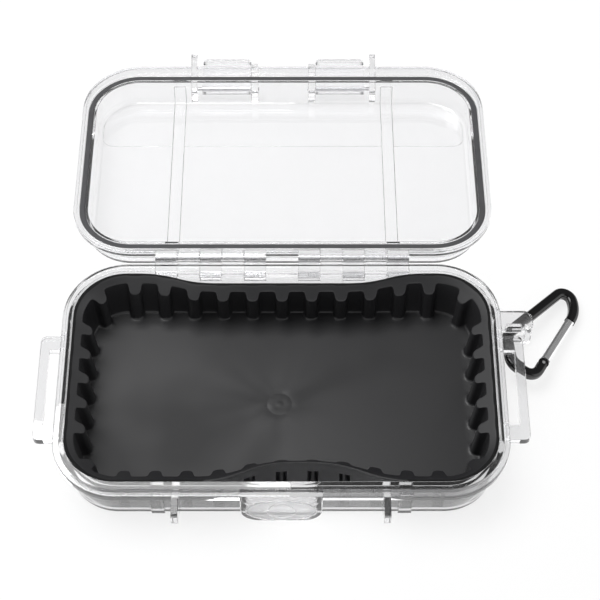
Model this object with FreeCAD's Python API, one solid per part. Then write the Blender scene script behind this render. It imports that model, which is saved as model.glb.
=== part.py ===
# Waterproof dry box, lying open: a clear base with a ribbed rubber liner, a
# clear lid with a seal, two clear latches and a small snap hook on a side eye.
# Millimetres. +X right, +Y to the hinge side, +Z up. The origin is on the
# ground, under the middle of the base. The lid is drawn closed and then
# turned open about the hinge, which is how the box lies at rest.
import FreeCAD
import Part
import math
import os

V = FreeCAD.Vector

# Case outline at the rim, and the heights
case_length = 204.0
case_width = 125.6
corner_radius = 29.6
base_height = 28.4        # ground to the top of the base's flange
lid_height = 19.2         # rim of the lid to its outer face
rim_gap = 0.3             # between the closed rims
rim_edge = 0.5            # rounding of the flanges' outer edges
wall = 2.2

# Base: its wall leans in towards the bottom
flange_thickness = 3.5
base_inner_x = 4.8        # inside of the wall at the rim, in from the outline
base_inner_y = 6.2
base_lean_x = 3.6         # how far the wall leans in down to the bottom
base_lean_y = 2.9
base_edge_radius = 3.2
base_hollow_radius = 2.2
tongue_height = 2.6       # bead on the rim that presses on the seal
tongue_inset_x = 2.0
tongue_inset_y = 2.3

# Raised rails that wrap round base and lid
base_rail_x = 55.2
lid_rail_x = 53.8
rail_width = 6.0
rail_height = 0.8
rail_edge = 0.3           # rounding of the rails' long edges
rail_stop = 8.0           # rails end this far from the rim

# Seal and the groove that holds it in the lid
seal_inset_x = 2.7
seal_inset_y = 4.7
seal_width = 2.8
seal_height = 1.3
groove_clearance = 0.1
groove_lip = 1.1          # wall between the groove and the inside
lid_flange_thickness = 4.3
lid_wall_inset_x = 4.0
lid_wall_inset_y = 5.6
lid_lean = 1.6
lid_edge_radius = 4.0
panel_depth = 0.4         # shallow panel along the front of the lid's face
panel_reach = 40.0        # its far edge, from the front of the lid
panel_margin = 9.0
panel_radius = 6.0

# Hinge: five knuckles in each of two groups
hinge_inner_x = 7.6
knuckle_pitch = 10.56
knuckle_count = 5
knuckle_gap = 0.35
knuckle_radius = 3.6
hinge_gap = 0.35          # knuckle to the edge of the rim
hinge_drop = 0.45         # hinge axis under the rim of the base
hinge_web = 6.5           # height of the web under each knuckle
pin_radius = 1.0
pin_clearance = 0.05
lid_ground_gap = 0.1      # open lid to the ground

# Fins beside the latches, on base and lid
fin_x = 46.4
fin_thickness = 3.0
fin_reach = 9.6
fin_face = 6.5
base_fin_height = 21.0
lid_fin_height = 18.2
fin_tip_radius = 1.6

# Block in the middle of the front, with an oval face
block_half_width = 18.2
block_height = 22.0
block_corner = 8.5
block_edge = 0.8
oval_half_width = 16.2
oval_half_height = 9.0
oval_drop = 0.4           # top of the oval under the flange
oval_line = 0.9           # width of the sunk lines
oval_depth = 0.5
ring_radius = 6.6

# Latches, hung on pins between a lid fin and a small ear
ear_x = 14.9
ear_thickness = 3.6
ear_reach = 1.7
latch_pivot_height = 14.5   # pin above the rim of the base
latch_pivot_in = 0.5        # pin inside the front of the outline
latch_barrel_radius = 2.4
latch_barrel_wall = 3.0     # material round the pin in fin and ear
latch_gap = 0.4
latch_thickness = 2.2
latch_width = 25.4
latch_below_rim = 6.9
latch_corner = 3.0
hook_depth = 1.8
hook_height = 1.6
hook_side = 1.9
grip_lip = 1.2
grip_slope = 2.4          # height of the slope above the grip lip
latch_open_angle = 90.0
latch_pin_end = 0.5

# Strap loops on both ends
loop_top_drop = 10.0      # top of the loop under the rim
loop_thickness = 3.5
loop_reach = 10.7         # beyond the rim
loop_bar = 4.3
loop_gap_width = 40.6     # room for the strap
loop_arm = 7.8
loop_corner = 3.0

# Eye for the snap hook, on the right end beside the hinge corner
eye_front_y = 31.6
eye_back_y = 42.4
eye_ring_depth = 4.0
eye_reach = 16.2          # beyond the rim
eye_post = 3.7
eye_post_round = 3.2
eye_root = 3.0            # how far the eye reaches into the base's wall
eye_way_gap = 0.4         # room between the wire's way and the wall
eye_top_plate = 2.4
eye_slack = 1.7           # room under the wire, which slopes down through the eye
eye_bottom_plate = 1.8
eye_round = 4.4
window_x0 = 3.3           # small slot in the eye's top, from the rim outwards
window_length = 7.3
window_width = 2.6
window_inset = 0.8

# Rubber liner
liner_gap = 0.15
liner_rise = 1.3          # lip above the base's flange
liner_wall_x = 4.2
liner_wall_y = 4.2
liner_floor = 3.9
rib_pitch = 13.9
rib_depth = 4.2
rib_root_width = 8.4
rib_tip_width = 5.6
rib_tip_radius = 2.2
rib_sink = 1.0            # how far the ribs reach into the floor
rib_lean = 2.4            # ribs lean in towards the floor
channel_width = 5.4       # hollow behind each rib, at the wall
channel_tip_width = 3.0
channel_tip_radius = 1.2
channel_mouth = 1.5        # how far it is cut through the wall
channel_skin = 1.7
channel_top = 2.6
lip_slope_drop = 4.6      # sloped lead-in on the ribs' tops
lip_flat = 1.3
waist_back = 5.6          # the rubber bows in at the middle of the long sides
waist_back_margin = 4.4   # straight part from the corner to the bow
waist_back_run = 38.0     # length of each S curve
waist_front = 6.4
waist_front_level = 6.0   # half of the level part in the middle
waist_front_run = 36.0
waist_front_shift = 6.0
waist_floor = 0.02        # share of the bow that is left at the floor

# Snap hook: a bent wire in its own plane, u away from the case, v to the back
hook_eye_x = 3.5          # middle of its plane beyond the rim, at the eye
hook_eye_y = 37.0
hook_eye_drop = 16.8
wire_width = 5.1
wire_thickness = 4.2
wire_edge = 1.4
hook_points = [(0.4, -4.0), (33.9, 29.5), (37.6, 15.9), (12.8, -25.6), (2.0, -19.6)]
hook_radii = [7.0, 4.4, 16.0, 5.0, 7.0]
hook_ground_gap = 0.2
nose_length = 7.6         # wire beyond the bend, up to the gate
hinge_stub = 11.8
gate_pin_back = 2.5       # hinge rivet from the end of the stub
gate_gap = 0.4
gate_width = 4.6
gate_thickness = 3.6
gate_edge = 1.2
gate_eye_trim = 0.4       # gate's tongue and eye, narrower than its bar
tongue_thickness = 1.8
slot_width = 2.4
nose_tongue = 4.6
nose_trim = 1.0           # nose's tongue, narrower than the wire
gate_fork = 5.6
rivet_radius = 0.8
rivet_proud = 0.3         # rivet longer than the wire is thick
knuckle_trim = 0.4        # knuckle of the wire, thinner than the wire
rivet_clearance = 0.05
notch_clearance = 0.3
spring_wire = 0.4
spring_radius = 0.75
spring_pitch = 0.9
spring_length = 7.2
spring_bore = 1.15
spring_start = 3.0
overlap = 1.0             # how far pieces of one moulding reach into each other

# Places that follow from the sizes
half_x = case_length / 2
half_y = case_width / 2
rim_z = base_height
lid_rim_z = rim_z + rim_gap
lid_top_z = lid_rim_z + lid_height
base_wall_x = base_inner_x - wall
base_wall_y = base_inner_y - wall
flange_z = rim_z - flange_thickness
seal_z = rim_z + tongue_height + rim_gap
groove_x = seal_inset_x + seal_width + groove_clearance
groove_y = seal_inset_y + seal_width + groove_clearance
hinge_y = half_y + hinge_gap + knuckle_radius
hinge_z = rim_z - hinge_drop
hinge_span = knuckle_pitch * knuckle_count
latch_y = -half_y + latch_pivot_in
latch_z = rim_z + latch_pivot_height
latch_inner_x = ear_x + ear_thickness / 2 + latch_gap
loop_z = rim_z - loop_top_drop
hook_eye_z = rim_z - hook_eye_drop
eye_floor_z = hook_eye_z - wire_thickness / 2 - eye_slack
eye_low_z = eye_floor_z - eye_bottom_plate
bore_radius = pin_radius + pin_clearance
straight_x = half_x - corner_radius
straight_y = half_y - corner_radius
waist_back_outer = straight_x - waist_back_margin
waist_back_inner = waist_back_outer - waist_back_run
waist_front_outer = waist_front_level + waist_front_run
ribs_long = int(straight_x / rib_pitch)     # ribs each side of the middle one
ribs_end = int(straight_y / rib_pitch)

os.makedirs("parts", exist_ok=True)


def outline(inset_x, inset_y, z):
    """Rounded rectangle that follows the case, set in by the two insets."""
    hx = half_x - inset_x
    hy = half_y - inset_y
    r = corner_radius - (inset_x + inset_y) / 2
    return waisted(hx, hy, r, z, 0.0, 0.0)


def waisted(hx, hy, r, z, bow_back, bow_front):
    """Rounded rectangle whose long sides bow in by an S curve each way."""
    back = [(waist_back_outer, 0.0), (waist_back_inner, bow_back),
            (-waist_back_inner, bow_back), (-waist_back_outer, 0.0)]
    s = waist_front_shift
    front = [(-waist_front_outer + s, 0.0), (-waist_front_level + s, bow_front),
             (waist_front_level + s, bow_front), (waist_front_outer + s, 0.0)]
    k = r * math.sqrt(0.5)
    edges = [arc(V(hx, hy - r, z), V(hx - r + k, hy - r + k, z), V(hx - r, hy, z))]
    edges += side(V(hx - r, hy, z), V(r - hx, hy, z), back, hy, -1.0)
    edges.append(arc(V(r - hx, hy, z), V(r - hx - k, hy - r + k, z), V(-hx, hy - r, z)))
    edges.append(line(V(-hx, hy - r, z), V(-hx, r - hy, z)))
    edges.append(arc(V(-hx, r - hy, z), V(r - hx - k, r - hy - k, z), V(r - hx, -hy, z)))
    edges += side(V(r - hx, -hy, z), V(hx - r, -hy, z), front, -hy, 1.0)
    edges.append(arc(V(hx - r, -hy, z), V(hx - r + k, r - hy - k, z), V(hx, r - hy, z)))
    edges.append(line(V(hx, r - hy, z), V(hx, hy - r, z)))
    return Part.Wire(edges)


def side(start, end, bends, y, inward):
    """Long side: straight, S curve, straight, S curve, straight."""
    if all(depth == 0.0 for x, depth in bends):
        return [line(start, end)]
    points = [V(x, y + inward * depth, start.z) for x, depth in bends]
    return [line(start, points[0]), s_curve(points[0], points[1]), line(points[1], points[2]),
            s_curve(points[2], points[3]), line(points[3], end)]


def s_curve(a, b):
    """Bezier curve that leaves and arrives along X."""
    reach = (b.x - a.x) * 0.5
    curve = Part.BezierCurve()
    curve.setPoles([a, V(a.x + reach, a.y, a.z), V(b.x - reach, b.y, b.z), b])
    return curve.toShape()


def line(a, b):
    return Part.LineSegment(a, b).toShape()


def arc(a, middle, b):
    return Part.Arc(a, middle, b).toShape()


def loft(*wires):
    return Part.makeLoft(list(wires), True, True)


def box(x0, x1, y0, y1, z0, z1):
    return Part.makeBox(x1 - x0, y1 - y0, z1 - z0, V(x0, y0, z0))


def prism(points, vector):
    """Solid from a closed polygon moved along a vector."""
    return Part.Face(Part.makePolygon(points + [points[0]])).extrude(vector)


def ring(inset_x, inset_y, width, z0, z1):
    """Band of one width that follows the case outline."""
    outer = loft(outline(inset_x, inset_y, z0), outline(inset_x, inset_y, z1))
    inner = loft(outline(inset_x + width, inset_y + width, z0), outline(inset_x + width, inset_y + width, z1))
    return outer.cut(inner)


def round_edges(shape, radius, chosen):
    """Fillet the edges that the test picks out."""
    return shape.makeFillet(radius, [e for e in shape.Edges if chosen(e)])


def at_height(z):
    return lambda e: abs(e.BoundBox.ZMin - z) < 1e-4 and abs(e.BoundBox.ZMax - z) < 1e-4


def upright(e):
    return e.BoundBox.XLength < 1e-4 and e.BoundBox.YLength < 1e-4


def along_x(e):
    return e.BoundBox.YLength < 1e-4 and e.BoundBox.ZLength < 1e-4


def along_y(e):
    return e.BoundBox.XLength < 1e-4 and e.BoundBox.ZLength < 1e-4


def rod(centre, direction, radius, length):
    return Part.makeCylinder(radius, length, centre, direction)


def both_sides(solid):
    """The solid and its mirror image across the middle of the case."""
    return [solid, solid.mirror(V(0, 0, 0), V(1, 0, 0))]


def base_inset_y(z):
    """Outer face of the base's front wall, in from the outline."""
    share = (flange_z - z) / (flange_z - rail_height)
    return base_wall_y + base_lean_y * share


def lid_inset_y(z):
    """Outer face of the lid's front wall, in from the outline."""
    share = (z - lid_rim_z - lid_flange_thickness) / (lid_height - lid_flange_thickness)
    return lid_wall_inset_y + lid_lean * max(share, 0.0)


def base_envelope(grow):
    """Outer form of the base under its flange, larger by the given amount."""
    floor_z = rail_height - grow
    solid = loft(outline(base_wall_x + base_lean_x - grow, base_wall_y + base_lean_y - grow, floor_z),
                 outline(base_wall_x - grow, base_wall_y - grow, flange_z))
    return round_edges(solid, base_edge_radius + grow, at_height(floor_z))


def base_hollow():
    """Room inside the base, from the floor to above the tongue."""
    floor_z = rail_height + wall
    top_z = rim_z + tongue_height
    lower = loft(outline(base_inner_x + base_lean_x, base_inner_y + base_lean_y, floor_z),
                 outline(base_inner_x, base_inner_y, flange_z))
    lower = round_edges(lower, base_hollow_radius, at_height(floor_z))
    upper = loft(outline(base_inner_x, base_inner_y, flange_z), outline(base_inner_x, base_inner_y, top_z))
    return lower.fuse(upper)


def lid_envelope(grow):
    """Outer form of the lid above its flange, larger by the given amount."""
    top_z = lid_top_z + grow
    base_z = lid_rim_z + lid_flange_thickness
    solid = loft(outline(lid_wall_inset_x - grow, lid_wall_inset_y - grow, base_z),
                 outline(lid_wall_inset_x + lid_lean - grow, lid_wall_inset_y + lid_lean - grow, top_z))
    return round_edges(solid, lid_edge_radius + grow, at_height(top_z))


def lid_hollow():
    """Room inside the lid."""
    mouth_x = groove_x + groove_lip
    mouth_y = groove_y + groove_lip
    top_z = lid_top_z - wall
    deep_x = lid_wall_inset_x + lid_lean + wall
    deep_y = lid_wall_inset_y + lid_lean + wall
    solid = loft(outline(mouth_x, mouth_y, lid_rim_z), outline(deep_x, deep_y, top_z))
    return round_edges(solid, lid_edge_radius - wall, at_height(top_z))


def rails(envelope, middle_x, end_z, face_z):
    """Two rails that wrap round an envelope, from wall to wall over its face."""
    x0 = middle_x - rail_width / 2
    x1 = middle_x + rail_width / 2
    rail = envelope.common(box(x0, x1, -half_y, half_y, min(end_z, face_z), max(end_z, face_z)))
    cut_end = at_height(end_z)
    rail = round_edges(rail, rail_edge, lambda e: (in_plane(e, x0) or in_plane(e, x1)) and not cut_end(e))
    return both_sides(rail)


def in_plane(e, x):
    return abs(e.BoundBox.XMin - x) < 1e-4 and abs(e.BoundBox.XMax - x) < 1e-4


def front_prism(profile, x0, x1):
    """Solid between two X planes from a profile of (y, z) points."""
    return prism([V(x0, y, z) for y, z in profile], V(x1 - x0, 0, 0))


def base_fins():
    tip_y = -half_y - fin_reach
    low_z = rim_z - base_fin_height
    root_y = -half_y + base_wall_y + wall / 2
    profile = [(root_y, rim_z), (tip_y, rim_z), (tip_y, rim_z - fin_face),
               (-half_y + base_inset_y(low_z) + wall / 2, low_z)]
    fin = front_prism(profile, fin_x - fin_thickness / 2, fin_x + fin_thickness / 2)
    fin = round_edges(fin, fin_tip_radius, lambda e: along_x(e) and abs(e.BoundBox.YMin - tip_y) < 1e-4)
    return both_sides(fin)


def lid_fins():
    """Fins with a boss round the latch pin."""
    tip_y = -half_y - fin_reach
    high_z = lid_rim_z + lid_fin_height
    root_y = -half_y + lid_wall_inset_y + wall / 2
    boss_y = latch_y - latch_barrel_wall
    profile = [(root_y, lid_rim_z), (tip_y, lid_rim_z), (tip_y, lid_rim_z + fin_face),
               (boss_y, latch_z + latch_barrel_wall), (latch_y, high_z),
               (-half_y + lid_inset_y(high_z) + wall / 2, high_z)]
    fin = front_prism(profile, fin_x - fin_thickness / 2, fin_x + fin_thickness / 2)
    fin = round_edges(fin, fin_tip_radius, lambda e: along_x(e) and abs(e.BoundBox.YMin - tip_y) < 1e-4)
    return both_sides(fin)


def lid_ears():
    """Small ears that carry the inner ends of the latch pins."""
    high_z = lid_rim_z + lid_fin_height
    profile = [(-half_y + lid_wall_inset_y + wall / 2, lid_rim_z), (-half_y - ear_reach, lid_rim_z),
               (latch_y - latch_barrel_wall, latch_z), (latch_y - latch_barrel_wall, latch_z + latch_barrel_wall),
               (latch_y, high_z), (-half_y + lid_inset_y(high_z) + wall / 2, high_z)]
    return both_sides(front_prism(profile, ear_x - ear_thickness / 2, ear_x + ear_thickness / 2))


def front_block():
    """Block flush with the front of the rim, rounded at its lower corners."""
    low_z = rim_z - block_height
    face = [(-half_y, rim_z), (-half_y, low_z), (-half_y + base_inset_y(low_z) + wall / 2, low_z),
            (-half_y + base_wall_y + wall / 2, rim_z)]
    block = front_prism(face, -block_half_width, block_half_width)
    plate = box(-block_half_width, block_half_width, -half_y, 0, low_z, rim_z)
    block = block.common(round_edges(plate, block_corner, lambda e: along_y(e) and e.BoundBox.ZMax < low_z + 1))
    block = round_edges(block, block_edge, lambda e: in_front(e) and not at_height(rim_z)(e))
    centre = V(0, -half_y, flange_z - oval_half_height - oval_drop)
    inward = V(0, oval_depth, 0)
    oval = ellipse_face(centre, oval_half_width, oval_half_height).extrude(inward)
    field = ellipse_face(centre, oval_half_width - oval_line, oval_half_height - oval_line).extrude(inward)
    circle = rod(centre, V(0, 1, 0), ring_radius, oval_depth)
    disc = rod(centre, V(0, 1, 0), ring_radius - oval_line, oval_depth)
    return block.cut(oval.cut(field)).cut(circle.cut(disc))


def in_front(e):
    return abs(e.BoundBox.YMin + half_y) < 1e-4 and abs(e.BoundBox.YMax + half_y) < 1e-4


def ellipse_face(centre, half_width, half_height):
    """Upright elliptical face that looks to the front."""
    curve = Part.Ellipse(V(0, 0, 0), half_width, half_height)
    shape = curve.toShape()
    shape.rotate(V(0, 0, 0), V(1, 0, 0), 90)
    shape.translate(centre)
    return Part.Face(Part.Wire(shape))


def strap_loops():
    """U shaped loops for a strap, moulded on the two ends."""
    out_x = half_x + loop_reach
    in_x = half_x - base_inner_x
    arm_y = loop_gap_width / 2 + loop_arm
    solid = box(in_x, out_x, -arm_y, arm_y, loop_z - loop_thickness, loop_z)
    solid = round_edges(solid, loop_corner, lambda e: upright(e) and e.BoundBox.XMax > out_x - 1)
    gap = box(0, out_x - loop_bar, -loop_gap_width / 2, loop_gap_width / 2,
              loop_z - loop_thickness, loop_z)
    return both_sides(solid.cut(gap))


def hook_eye():
    """Eye on the right end: a plate with a short closed ring under it."""
    out_x = half_x + eye_reach
    ring_back = eye_front_y + eye_ring_depth
    in_x = half_x - base_inner_x - eye_root
    plate = box(in_x, out_x, eye_front_y, eye_back_y, loop_z - eye_top_plate, loop_z)
    plate = round_edges(plate, eye_round, lambda e: upright(e) and e.BoundBox.XMax > out_x - 1)
    ring_block = box(in_x, out_x, eye_front_y, ring_back, eye_low_z, loop_z)
    at_corner = lambda e: upright(e) and abs(e.BoundBox.XMax - out_x) + abs(e.BoundBox.YMax - eye_front_y) < 1e-4
    ring_block = round_edges(ring_block, eye_post_round, at_corner)
    root = box(in_x, half_x - base_wall_x, eye_front_y, eye_back_y, eye_low_z, loop_z)
    way = box(half_x - base_wall_x + eye_way_gap, out_x - eye_post, eye_front_y, ring_back,
              eye_floor_z, loop_z - eye_top_plate)
    window = box(half_x + window_x0, half_x + window_x0 + window_length, eye_front_y + window_inset,
                 eye_front_y + window_inset + window_width, loop_z - eye_top_plate, loop_z)
    return plate.fuse([ring_block, root]).cut(way).cut(window)


def knuckles(first, is_lid):
    """Every second knuckle of the right hinge group, with its web."""
    sign = 1.0 if is_lid else -1.0
    face_z = lid_rim_z if is_lid else rim_z
    root_y = half_y - (lid_wall_inset_y if is_lid else base_wall_y) - wall / 2
    profile = [(root_y, face_z), (half_y, face_z), (hinge_y, hinge_z),
               (hinge_y, hinge_z + sign * knuckle_radius), (half_y, face_z + sign * hinge_web),
               (root_y, face_z + sign * hinge_web)]
    solids = []
    for index in range(first, knuckle_count, 2):
        x0 = hinge_inner_x + index * knuckle_pitch + knuckle_gap / 2
        x1 = x0 + knuckle_pitch - knuckle_gap
        solids.append(front_prism(profile, x0, x1))
        solids.append(rod(V(x0, hinge_y, hinge_z), V(1, 0, 0), knuckle_radius, x1 - x0))
    return solids


def hinge_bore():
    start = V(hinge_inner_x, hinge_y, hinge_z)
    return both_sides(rod(start, V(1, 0, 0), bore_radius, hinge_span))


def mirrored_all(solids):
    return [copy for solid in solids for copy in both_sides(solid)]


def make_base():
    flange = loft(outline(0, 0, flange_z), outline(0, 0, rim_z))
    flange = round_edges(flange, rim_edge, lambda e: at_height(flange_z)(e) or at_height(rim_z)(e))
    tongue = loft(outline(tongue_inset_x, tongue_inset_y, rim_z),
                  outline(tongue_inset_x, tongue_inset_y, rim_z + tongue_height))
    body = base_envelope(0.0).fuse([flange, tongue])
    body = body.fuse(rails(base_envelope(rail_height), base_rail_x, rim_z - rail_stop, 0.0))
    body = body.fuse(base_fins() + [front_block()] + strap_loops() + [hook_eye()])
    body = body.fuse(mirrored_all(knuckles(0, False)))
    for bore in hinge_bore():
        body = body.cut(bore)
    return body.cut(base_hollow()).removeSplitter()


def make_lid():
    flange_top = lid_rim_z + lid_flange_thickness
    flange = loft(outline(0, 0, lid_rim_z), outline(0, 0, flange_top))
    flange = round_edges(flange, rim_edge, lambda e: at_height(lid_rim_z)(e) or at_height(flange_top)(e))
    lid = flange.fuse([lid_envelope(0.0)] + rails(lid_envelope(rail_height), lid_rail_x, lid_rim_z + rail_stop,
                                                  lid_top_z + rail_height))
    lid = lid.fuse(lid_fins() + lid_ears() + mirrored_all(knuckles(1, True)))
    lid = lid.cut(lid_hollow())
    lid = lid.cut(ring(seal_inset_x - groove_clearance, seal_inset_y - groove_clearance,
                       seal_width + 2 * groove_clearance, lid_rim_z, seal_z + seal_height))
    step = tongue_inset_x - rim_gap
    step_y = tongue_inset_y - rim_gap
    lid = lid.cut(loft(outline(step, step_y, lid_rim_z), outline(step, step_y, seal_z)))
    lid = lid.cut(face_panel())
    for bore in hinge_bore() + both_sides(latch_pin(bore_radius)):
        lid = lid.cut(bore)
    return lid.removeSplitter()


def face_panel():
    """Shallow step along the front of the lid's outer face, between the rails."""
    edge_y = -half_y + panel_reach
    panel = box(-half_x + panel_margin, half_x - panel_margin, -half_y, edge_y,
                lid_top_z - panel_depth, lid_top_z)
    panel = round_edges(panel, panel_radius, lambda e: upright(e) and e.BoundBox.YMax > edge_y - 1)
    for side_x in (-lid_rail_x, lid_rail_x):
        panel = panel.cut(box(side_x - rail_width / 2, side_x + rail_width / 2, -half_y, edge_y,
                              lid_top_z - panel_depth, lid_top_z))
    return panel


def make_seal():
    solid = ring(seal_inset_x, seal_inset_y, seal_width, seal_z, seal_z + seal_height)
    return round_edges(solid, seal_width / 4, at_height(seal_z))


def make_hinge_pin():
    return rod(V(hinge_inner_x, hinge_y, hinge_z), V(1, 0, 0), pin_radius, hinge_span)


def latch_pin(radius):
    x0 = ear_x - ear_thickness / 2 - latch_pin_end
    x1 = fin_x + fin_thickness / 2 + latch_pin_end
    return rod(V(x0, latch_y, latch_z), V(1, 0, 0), radius, x1 - x0)


def make_latch():
    """Right latch, drawn closed: a barrel, a plate, a hook and a grip lip."""
    x0 = latch_inner_x
    x1 = x0 + latch_width
    face_y = -half_y - latch_gap
    low_z = rim_z - latch_below_rim
    top_z = latch_z + latch_barrel_radius / 2
    plate = box(x0, x1, face_y - latch_thickness, face_y, low_z, top_z)
    grip = front_prism([(face_y - latch_thickness, low_z), (face_y - latch_thickness - grip_lip, low_z),
                        (face_y - latch_thickness - grip_lip, low_z + grip_lip),
                        (face_y - latch_thickness, low_z + grip_lip + grip_slope)], x0, x1)
    frame = box(x0, x1, face_y - latch_thickness - grip_lip, face_y + hook_depth, low_z, latch_z + latch_barrel_radius)
    frame = round_edges(frame, latch_corner, lambda e: along_y(e) and at_height(low_z)(e))
    body = plate.fuse(grip).common(frame)
    barrel = rod(V(x0, latch_y, latch_z), V(1, 0, 0), latch_barrel_radius, latch_width)
    hook_top = flange_z - latch_gap
    hook = box(x0 + hook_side, x1 - hook_side, face_y, face_y + hook_depth, hook_top - hook_height, hook_top)
    hook = round_edges(hook, hook_height / 2, lambda e: along_x(e) and e.BoundBox.YMin > face_y + 0.1
                       and e.BoundBox.ZMax < hook_top - 0.1)
    bore = rod(V(x0, latch_y, latch_z), V(1, 0, 0), bore_radius, latch_width)
    return body.fuse([barrel, hook]).cut(bore).removeSplitter()


def liner_outline(extra, z, share):
    """Liner's outline, set in by extra; share 1 is its waisted top edge."""
    lean = 1.0 - share
    inset_x = base_inner_x + liner_gap + base_lean_x * lean + extra
    inset_y = base_inner_y + liner_gap + base_lean_y * lean + extra
    hx = half_x - inset_x
    hy = half_y - inset_y
    r = corner_radius - (inset_x + inset_y) / 2
    keep = waist_floor + share
    return waisted(hx, hy, r, z, waist_back * keep, waist_front * keep)


def rib_places():
    """Middle, inward direction and lean share of every rib, at the lip."""
    places = []
    wall_x = half_x - base_inner_x - liner_gap
    wall_y = half_y - base_inner_y - liner_gap
    for index in range(-ribs_long, ribs_long + 1):
        x = index * rib_pitch
        places.append((V(x, wall_y - bow(x, True), 0), V(0, -1, 0), bow(x, True)))
        places.append((V(x, -wall_y + bow(x, False), 0), V(0, 1, 0), bow(x, False)))
    for index in range(-ribs_end, ribs_end + 1):
        places.append((V(wall_x, index * rib_pitch, 0), V(-1, 0, 0), 0.0))
        places.append((V(-wall_x, index * rib_pitch, 0), V(1, 0, 0), 0.0))
    r = corner_radius - (base_inner_x + base_inner_y) / 2 - liner_gap
    diagonal = math.sqrt(0.5)
    for sx in (-1, 1):
        for sy in (-1, 1):
            centre = V(sx * (wall_x - r + r * diagonal), sy * (wall_y - r + r * diagonal), 0)
            places.append((centre, V(-sx * diagonal, -sy * diagonal, 0), 0.0))
    return places


def bow(x, back):
    """How far the lip bows in at x: level in the middle, easing out each way."""
    depth = waist_back if back else waist_front
    inner = waist_back_inner if back else waist_front_level
    outer = waist_back_outer if back else waist_front_outer
    away = abs(x) if back else abs(x - waist_front_shift)
    share = min(max((outer - away) / (outer - inner), 0.0), 1.0)
    return depth * share * share * (3 - 2 * share)


def rib_solid(place, inward, bowed, width, tip_width, near, far, z0, z1, radius):
    """Tapered upright rib from the wall inwards, leaning with the wall."""
    across = V(-inward.y, inward.x, 0)
    height = rim_z + liner_rise - z0
    slope = (rib_lean - bowed) / height
    foot = place + inward * (slope * height) + V(0, 0, z0)
    lean = inward * (-slope * (z1 - z0)) + V(0, 0, z1 - z0)
    a = foot + inward * near - across * (width / 2)
    b = foot + inward * (far - radius) - across * (tip_width / 2)
    c = foot + inward * far - across * (tip_width / 2 - radius)
    d = foot + inward * far + across * (tip_width / 2 - radius)
    e = foot + inward * (far - radius) + across * (tip_width / 2)
    f = foot + inward * near + across * (width / 2)
    turn = radius * (1 - math.sqrt(0.5))
    first = foot + inward * (far - turn) - across * (tip_width / 2 - turn)
    second = foot + inward * (far - turn) + across * (tip_width / 2 - turn)
    wire = Part.Wire([line(a, b), arc(b, first, c), line(c, d), arc(d, second, e), line(e, f), line(f, a)])
    return Part.Face(wire).extrude(lean)


def make_liner():
    """Moulded tray: waisted walls, ribs with hollow backs, sloped lip."""
    bottom_z = rail_height + wall + liner_gap
    top_z = rim_z + liner_rise
    floor_z = bottom_z + liner_floor
    outer = loft(liner_outline(0.0, bottom_z, 0.0), liner_outline(0.0, top_z, 1.0))
    outer = round_edges(outer, base_edge_radius, at_height(bottom_z))
    hollow = liner_hollow(floor_z, top_z)
    tray = outer.cut(hollow)
    near = min(liner_wall_x, liner_wall_y) / 2
    ribs = []
    channels = []
    for place, inward, bowed in rib_places():
        wall_here = liner_wall_x if abs(inward.x) > 0.5 else liner_wall_y
        ribs.append(rib_solid(place, inward, bowed, rib_root_width, rib_tip_width, near,
                              wall_here + rib_depth, floor_z - rib_sink, top_z, rib_tip_radius))
        channels.append(rib_solid(place, inward, bowed, channel_width, channel_tip_width, -channel_mouth,
                                  wall_here + rib_depth - channel_skin, bottom_z + liner_floor / 2,
                                  top_z - channel_top - lip_slope_drop / 2, channel_tip_radius))
    tray = tray.fuse(ribs)
    tray = tray.cut(lip_slope(top_z))
    tray = tray.cut(Part.makeCompound(channels))
    return tray.removeSplitter()


def liner_hollow(floor_z, top_z):
    """Room between the liner's walls, without its ribs."""
    return loft(liner_inner(liner_wall_x, liner_wall_y, floor_z, 0.0),
                liner_inner(liner_wall_x, liner_wall_y, top_z, 1.0))


def liner_inner(wall_x, wall_y, z, share):
    """Inner outline of the liner's wall; share 1 is the waisted lip."""
    lean = rib_lean * (1.0 - share)
    hx = half_x - base_inner_x - liner_gap - wall_x - lean
    hy = half_y - base_inner_y - liner_gap - wall_y - lean
    r = corner_radius - base_inner_x - wall_y - lean
    keep = waist_floor + share
    return waisted(hx, hy, r, z, waist_back * keep, waist_front * keep)


def lip_slope(top_z):
    """Funnel that slopes the lip and the tops of the ribs inwards."""
    low = liner_inner(liner_wall_x + rib_depth, liner_wall_y + rib_depth, top_z - lip_slope_drop, 1.0)
    high = liner_inner(lip_flat, lip_flat, top_z + 0.01, 1.0)
    return loft(low, high)


def hook_frame():
    """Origin and the u, v and normal directions of the snap hook's plane."""
    reach = max(u for u, v in hook_points)
    tilt = math.asin((hook_eye_z - wire_thickness / 2 - hook_ground_gap) / reach)
    origin = V(half_x + hook_eye_x, hook_eye_y, hook_eye_z)
    return origin, V(math.cos(tilt), 0, -math.sin(tilt)), V(0, 1, 0), V(math.sin(tilt), 0, math.cos(tilt))


def hook_place(u, v, height=0.0):
    origin, along_u, along_v, normal = hook_frame()
    return origin + along_u * u + along_v * v + normal * height


def hook_line_point(distance):
    """Point on the gate's line, measured from the bend at its hinge end."""
    start = hook_points[3]
    end = hook_points[2]
    length = math.dist(start, end)
    return (start[0] + (end[0] - start[0]) * distance / length,
            start[1] + (end[1] - start[1]) * distance / length)


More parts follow.
